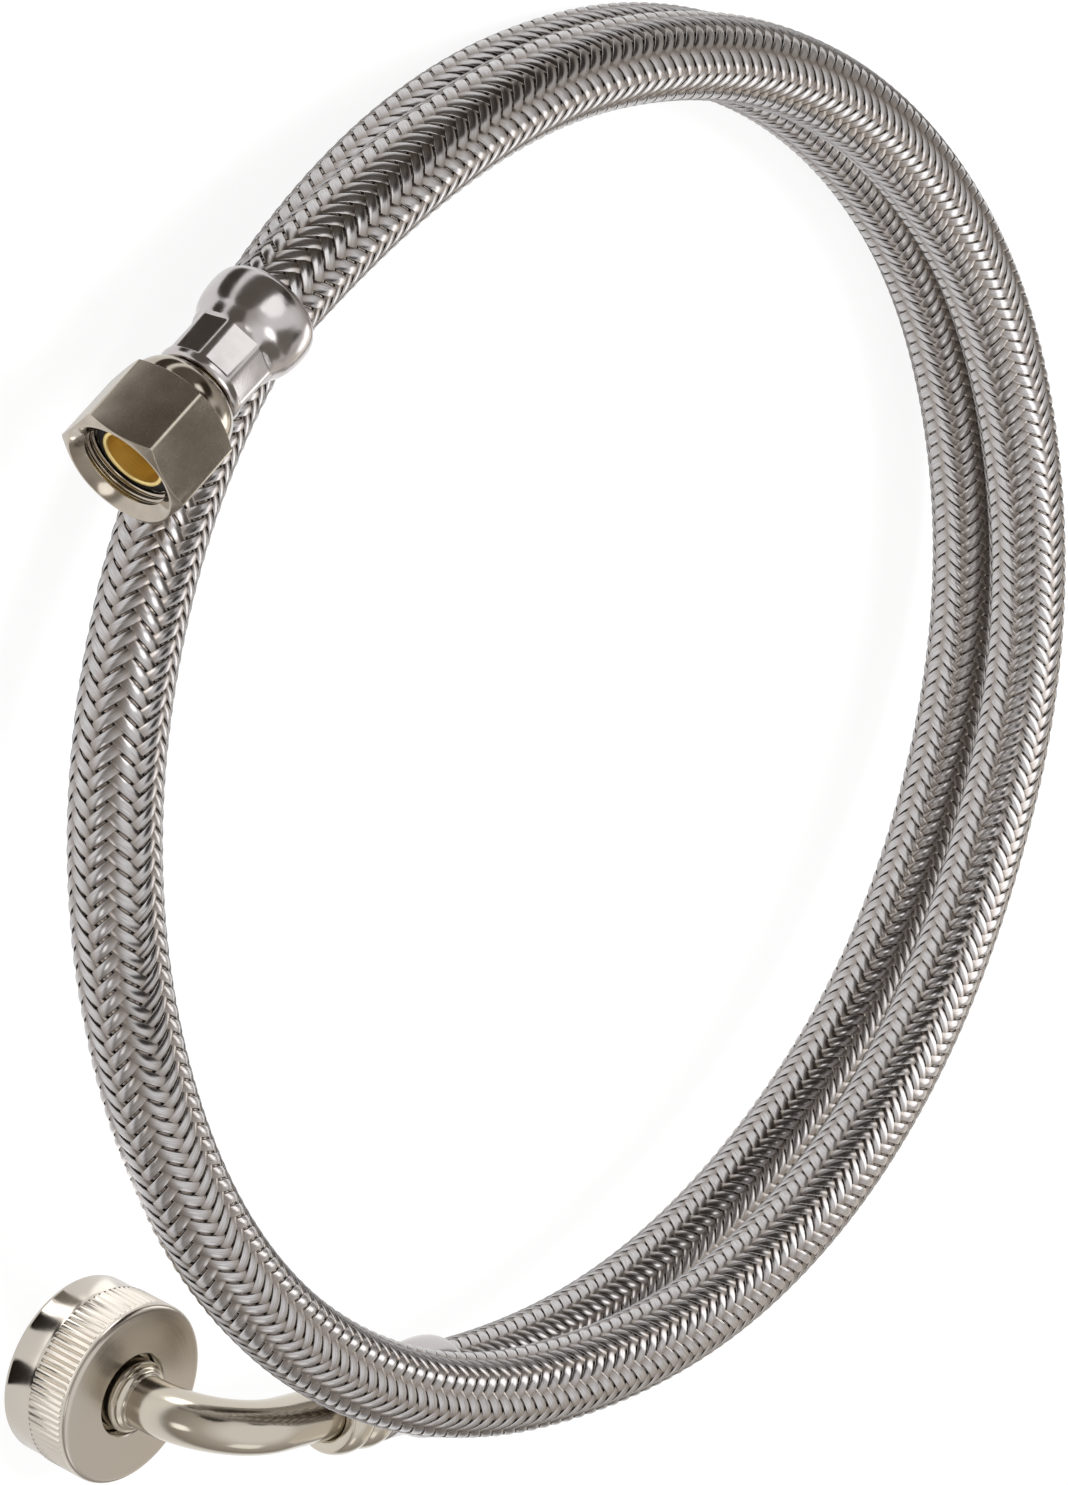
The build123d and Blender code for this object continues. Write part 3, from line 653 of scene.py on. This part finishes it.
# ---- hose nut ----
# Turned and nickel plated brass, 3/4 in garden hose thread: a smooth lip, a straight-knurled grip and
# a flat turned back with a rounded rim.
NUT_B_HEIGHT, LIP_R, GRIP_R, KNURL_DEPTH = 13.4, 14.6, 14.8, 0.42
KNURL_TEETH, KNURL_SIDES = 84, 4  # teeth round the grip, and the sides that each is made of
KNURL_START, KNURL_END, TOOTH_ROUND = 5.5, 12.0, 0.1
THREAD_B_R, THREAD_B_ROOT, THREAD_B_TOP = 12.45, 13.0, 7.0  # crest, root and end at the seat
THREAD_B_PITCH, THREAD_B_TURNS = INCH / 11.5, 3
MID_WALL_R = 14.0  # about halfway from the thread to the grip
hose_nut = turned("knurled_hose_nut", [
    (13.2, 0), (14.2, 0), (14.5, 0.15), (LIP_R, 0.5), (LIP_R, 4.9), (LIP_R, 5.3),
    (GRIP_R - 0.1, KNURL_START), (GRIP_R, KNURL_START + 0.2), (GRIP_R, KNURL_END - 0.2),
    (GRIP_R, KNURL_END), (GRIP_R, 12.3),
    *bowed((GRIP_R, 12.4), (GRIP_R, NUT_B_HEIGHT), (13.8, NUT_B_HEIGHT), 6),
    (6.95, NUT_B_HEIGHT), (6.75, NUT_B_HEIGHT - 0.2), (6.75, 11.6), (13.0, 11.6), (13.0, 7.2),
    *thread(THREAD_B_R, THREAD_B_ROOT, THREAD_B_TOP, THREAD_B_PITCH, THREAD_B_TURNS)[:-1],
], sides=KNURL_TEETH * KNURL_SIDES)


def grip_side(at):
    """Which side of its tooth a point of the grip lies on, or None off the grip."""
    if at.xy.length < MID_WALL_R or not KNURL_START < at.z < KNURL_END:
        return None
    angle = Vector((1, 0)).angle_signed(at.xy) % (2 * pi)
    return round(angle / (2 * pi) * KNURL_TEETH * KNURL_SIDES) % KNURL_SIDES


for side, depth in ((3, KNURL_DEPTH), (0, TOOTH_ROUND), (2, TOOTH_ROUND)):
    select_vertices(hose_nut, lambda at: grip_side(at) == side)
    narrow = (GRIP_R - depth) / GRIP_R
    bpy.ops.transform.resize(value=(narrow, narrow, 1), center_override=(0, 0, 0))
    bpy.ops.object.mode_set(mode="OBJECT")
finish(hose_nut, Matrix.Translation(hose_nut_axis), 0.05, angle=60)

# Brushed nickel: turned rings on the back and round the lip draw the light into streaks. They are drawn
# coarser than the tool's real marks so that they show.
TURNED_RING = 0.25
brushed_nickel, tree, shader = new_material("brushed_nickel")
shader.inputs["Metallic"].default_value = 1.0
shader.inputs["Base Color"].default_value = linear("#c2bbb1")
place = add(tree, "TexCoord", {})
about_nut = add(tree, "Mapping", {"Vector": place.outputs["Object"], "Location": hose_nut_axis},
                vector_type="TEXTURE")
apart = add(tree, "SeparateXYZ", {"Vector": about_nut.outputs["Vector"]})
flat_at = add(tree, "CombineXYZ", {"X": apart.outputs["X"], "Y": apart.outputs["Y"]})
reach = add(tree, "VectorMath", {0: flat_at.outputs["Vector"]}, operation="LENGTH")
turned_at = add(tree, "CombineXYZ", {"X": reach.outputs["Value"], "Z": apart.outputs["Z"]})
rings = add(tree, "TexNoise", {"Vector": turned_at.outputs["Vector"], "Scale": 1 / (TURNED_RING * MM),
                               "Detail": 3.0})
rough = add(tree, "MapRange", {"Value": rings.outputs["Fac"], "To Min": 0.18, "To Max": 0.3})
tree.links.new(rough.outputs["Result"], shader.inputs["Roughness"])
bump = add(tree, "Bump", {"Height": rings.outputs["Fac"], "Strength": 0.06, "Distance": 0.05 * MM})
tree.links.new(bump.outputs["Normal"], shader.inputs["Normal"])
hose_nut.data.materials.append(brushed_nickel)
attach(hose_nut, "swivel_nut")
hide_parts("hose_nut")

# ---- washer in the hose nut ----
# A moulded rubber washer on the seat inside the nut, between the tailpiece's flange and the tap. Its
# solid is shown as it is, in the same rubber as the gasket.
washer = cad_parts["hose_washer"]
for material_slot in washer.material_slots:
    material_slot.material = rubber

# ---- floor and light ----
# A white laminate table in an evenly lit grey room, with one big soft lamp overhead. White and dark
# cards stand round the coil for the metal alone to see: they put the bright and dark bands on it.
TABLE_SIZE = 8.0  # metres
POOL_START, POOL_END, POOL_REST = 0.13, 0.6, 0.35
TABLE_GLOW = 0.9
bpy.ops.object.select_all(action="DESELECT")
bpy.ops.mesh.primitive_plane_add(size=TABLE_SIZE)
floor = bpy.context.object
floor.name = "floor"
white_table, tree, shader = new_material("white_laminate")
shader.inputs["Base Color"].default_value = linear("#666666")
shader.inputs["Roughness"].default_value = 0.9
shader.inputs["Specular IOR Level"].default_value = 0.0
# The table glows white to the eye. The metal sees it as a painted pool of light under the coil, which
# falls to the share POOL_REST between POOL_START and POOL_END metres from the coil's middle.
rays = add(tree, "LightPath", {})
place = add(tree, "TexCoord", {})
off = add(tree, "VectorMath", {0: place.outputs["Object"], 1: coil}, operation="DISTANCE")
pool = add(tree, "MapRange", {"Value": off.outputs["Value"], "From Min": POOL_START, "From Max": POOL_END,
                              "To Min": 1.0, "To Max": POOL_REST}, interpolation_type="SMOOTHSTEP")
seen = add(tree, "Math", {0: rays.outputs["Is Glossy Ray"], 1: pool.outputs["Result"],
                          2: rays.outputs["Is Camera Ray"]}, operation="MULTIPLY_ADD")
shader.inputs["Emission Color"].default_value = linear("#ffffff")
glow = add(tree, "Math", {0: seen.outputs["Value"], 1: TABLE_GLOW}, operation="MULTIPLY")
tree.links.new(glow.outputs["Value"], shader.inputs["Emission Strength"])
floor.data.materials.append(white_table)

# The room is grey at the level of the table and white overhead.
world = bpy.data.worlds.new("studio")
bpy.context.scene.world = world
world.use_nodes = True
tree = world.node_tree
room = tree.nodes["Background"]
direction = add(tree, "TexCoord", {})
height = add(tree, "SeparateXYZ", {"Vector": direction.outputs["Generated"]})
shade = add(tree, "ValToRGB", {"Fac": height.outputs["Z"]})
shade.color_ramp.elements[0].color = linear("#9d968f")
shade.color_ramp.elements[1].position = 0.86
shade.color_ramp.elements[1].color = linear("#ffffff")
shade.color_ramp.elements.new(0.55).color = linear("#c9c5c1")
tree.links.new(shade.outputs["Color"], room.inputs["Color"])
room.inputs["Strength"].default_value = 1.0

LAMP_FROM_COIL = Vector((0.05, 0.35, 1.0))
LAMP_WIDE, LAMP_DEEP, LAMP_WATTS = 0.5, 0.3, 9
bpy.ops.object.light_add(type="AREA", location=coil + LAMP_FROM_COIL)
lamp = bpy.context.object
lamp.name = "overhead_box"
lamp.rotation_euler = (lamp.location - coil).to_track_quat("Z", "Y").to_euler()
lamp.data.shape = "RECTANGLE"
lamp.data.size, lamp.data.size_y = LAMP_WIDE, LAMP_DEEP
lamp.data.energy = LAMP_WATTS
lamp.visible_glossy = False


def card(name, middle, faces, size, colour, strength=1.0, softness=0.03):
    """A card that only the metal sees. Its size is its width and height in mm.

    Its alpha comes from a value that runs from 0 at an edge to 0.0625 in the middle, and it is solid
    where that value is over softness.
    """
    bpy.ops.mesh.primitive_plane_add(size=1)
    made = bpy.context.object
    made.name = name
    made.scale = (size[0] * MM, size[1] * MM, 1)
    made.rotation_euler = faces.to_track_quat("Z", "Y").to_euler()
    made.location = middle
    painted, tree, shader = new_material(name + "_paint")
    shader.inputs["Base Color"].default_value = linear("#000000")
    shader.inputs["Specular IOR Level"].default_value = 0.0
    shader.inputs["Emission Color"].default_value = linear(colour)
    shader.inputs["Emission Strength"].default_value = strength
    place = add(tree, "TexCoord", {})
    at = add(tree, "SeparateXYZ", {"Vector": place.outputs["Generated"]})
    left = add(tree, "Math", {0: 1.0, 1: at.outputs["X"]}, operation="SUBTRACT")
    above = add(tree, "Math", {0: 1.0, 1: at.outputs["Y"]}, operation="SUBTRACT")
    wide = add(tree, "Math", {0: at.outputs["X"], 1: left.outputs["Value"]}, operation="MULTIPLY")
    high = add(tree, "Math", {0: at.outputs["Y"], 1: above.outputs["Value"]}, operation="MULTIPLY")
    inside = add(tree, "Math", {0: wide.outputs["Value"], 1: high.outputs["Value"]}, operation="MULTIPLY")
    solid = add(tree, "MapRange", {"Value": inside.outputs["Value"], "From Max": softness},
                interpolation_type="SMOOTHSTEP")
    tree.links.new(solid.outputs["Result"], shader.inputs["Alpha"])
    made.data.materials.append(painted)
    made.visible_camera = made.visible_diffuse = made.visible_shadow = False


def far_card(name, towards, size, colour, strength=1.0, distance=900):
    """A card far off in a direction from the coil."""
    way = Vector(towards).normalized()
    card(name, coil + way * distance * MM, -way, size, colour, strength)


# A dark card behind the coil and a pale one to its right, each with a white one before it, and white
# ones overhead, in front and to the left.
far_card("dark_back", (0.0, 0.82, 0.4), (1300, 900), "#3b342e")
far_card("white_back", (-0.45, 0.65, 0.58), (240, 200), "#ffffff", 2.5, distance=850)
far_card("white_top", (0.44, 0.1, 0.88), (420, 300), "#ffffff", 1.0)
far_card("white_low", (0.68, -0.55, 0.42), (380, 280), "#ffffff", 1.8, distance=850)
far_card("pale_right", (0.9, -0.35, 0.2), (1000, 420), "#fff8ee", 1.1)
far_card("white_front", (0, -0.83, 0.56), (420, 300), "#ffffff", 1.3)
far_card("white_by_camera", (-0.886, -0.386, 0.253), (330, 260), "#ffffff", 1.7)

# Smaller cards nearer the ends, each with the point that it serves and the way and distance from there:
# dark and white ones for the hex nut and its ferrule, and pale, white and dark ones for the plated stem
# and the elbow's bend.
BEND_MIDDLE = Vector((4, 0, 27))
hex_middle = end_a @ Vector((0, 0, (HEX_START + HEX_END) / 2 * MM))
ferrule_middle = end_a @ Vector((0, 0, (CRIMP_START + CRIMP_END) / 2 * MM))
elbow_middle = end_b @ Vector((0, 0, beads_end * MM))
bend_middle = hose_nut_axis + BEND_MIDDLE * MM
for name, seen_from, way, distance, size, colour, strength in (
    ("dark_behind_hex", hex_middle, (-0.28, 0.955, 0.1), 72, (200, 62), "#6a645e", 1.0),
    ("dark_over_hex", hex_middle, (0.533, 0.076, 0.843), 44, (40, 36), "#7a746d", 1.0),
    ("dark_by_ferrule", ferrule_middle, (-0.18, 0.81, -0.56), 30, (40, 16), "#4e4842", 1.0),
    ("white_over_corner", hex_middle, (0.024, 0.768, 0.64), 93, (60, 60), "#ffffff", 1.6),
    ("white_over_collar", ferrule_middle, (-0.358, -0.2, 0.912), 63, (36, 36), "#ffffff", 3.0),
    ("pale_by_elbow", elbow_middle, (0.8, -0.3, 0.42), 280, (260, 170), "#fff8ee", 0.75),
    ("white_by_elbow", elbow_middle, (0.77, 0.48, 0.42), 240, (190, 80), "#ffffff", 2.4),
    ("dark_by_elbow", elbow_middle, (0.12, 0.68, 0.72), 200, (120, 110), "#1f1a15", 1.0),
    ("white_at_bend", bend_middle, (-0.267, 0.931, -0.25), 68, (34, 16), "#ffffff", 4.0),
    ("dark_at_bend", bend_middle, (-0.4, 0.77, 0.5), 95, (64, 46), "#2a2420", 1.0),
):
    way = Vector(way).normalized()
    card(name, seen_from + way * distance * MM, -way, size, colour, strength)


# Strips on the table beside the hose nut, whose upright wall mirrors only what lies close to it. Each
# starts at a bearing round the wall and runs out the way that a line of sight leaves the wall there. The
# white ones for the grip lie further out, and under the short ones for the lip.
SIGHT_BEARING = -15  # degrees, of the camera's line of sight over the table
GRIP_NEAR, GRIP_FAR, GRIP_LEVEL = 5, 24, 0.3
LIP_NEAR, LIP_FAR, LIP_LEVEL = -1, 9.5, 0.6


def strip(name, wall, near, far, level, width, colour, strength=1.0):
    """A strip on the table from near to far mm off the hose nut's wall, at a bearing in degrees."""
    out, turned_to = radians(wall), radians(2 * wall - 180 - SIGHT_BEARING)
    start = Vector((cos(out), sin(out), 0)) * LIP_R
    middle = start + Vector((cos(turned_to), sin(turned_to), 0)) * (near + far) / 2
    middle.z = level
    card(name, hose_nut_axis + middle * MM, WORLD_UP, (far - near, width), colour, strength,
         softness=0.012)
    bpy.context.object.rotation_euler = (0, 0, turned_to)


for number, wall in enumerate((108, 130, 152, 168)):
    strip(f"white_by_grip_{number + 1}", wall, GRIP_NEAR, GRIP_FAR, GRIP_LEVEL, 15, "#ffffff", 1.9)
for name, wall, width, colour, strength in (
    ("grey_by_lip", 121, 2.6, "#8a837c", 1.0),
    ("white_by_lip", 130, 3.2, "#ffffff", 3.0),
    ("dark_by_lip_1", 141, 3.6, "#2a2420", 1.0),
    ("dark_by_lip_2", 175, 5.0, "#2a2420", 1.0),
):
    strip(name, wall, LIP_NEAR, LIP_FAR, LIP_LEVEL, width, colour, strength)

bpy.context.scene.view_settings.view_transform = "Standard"
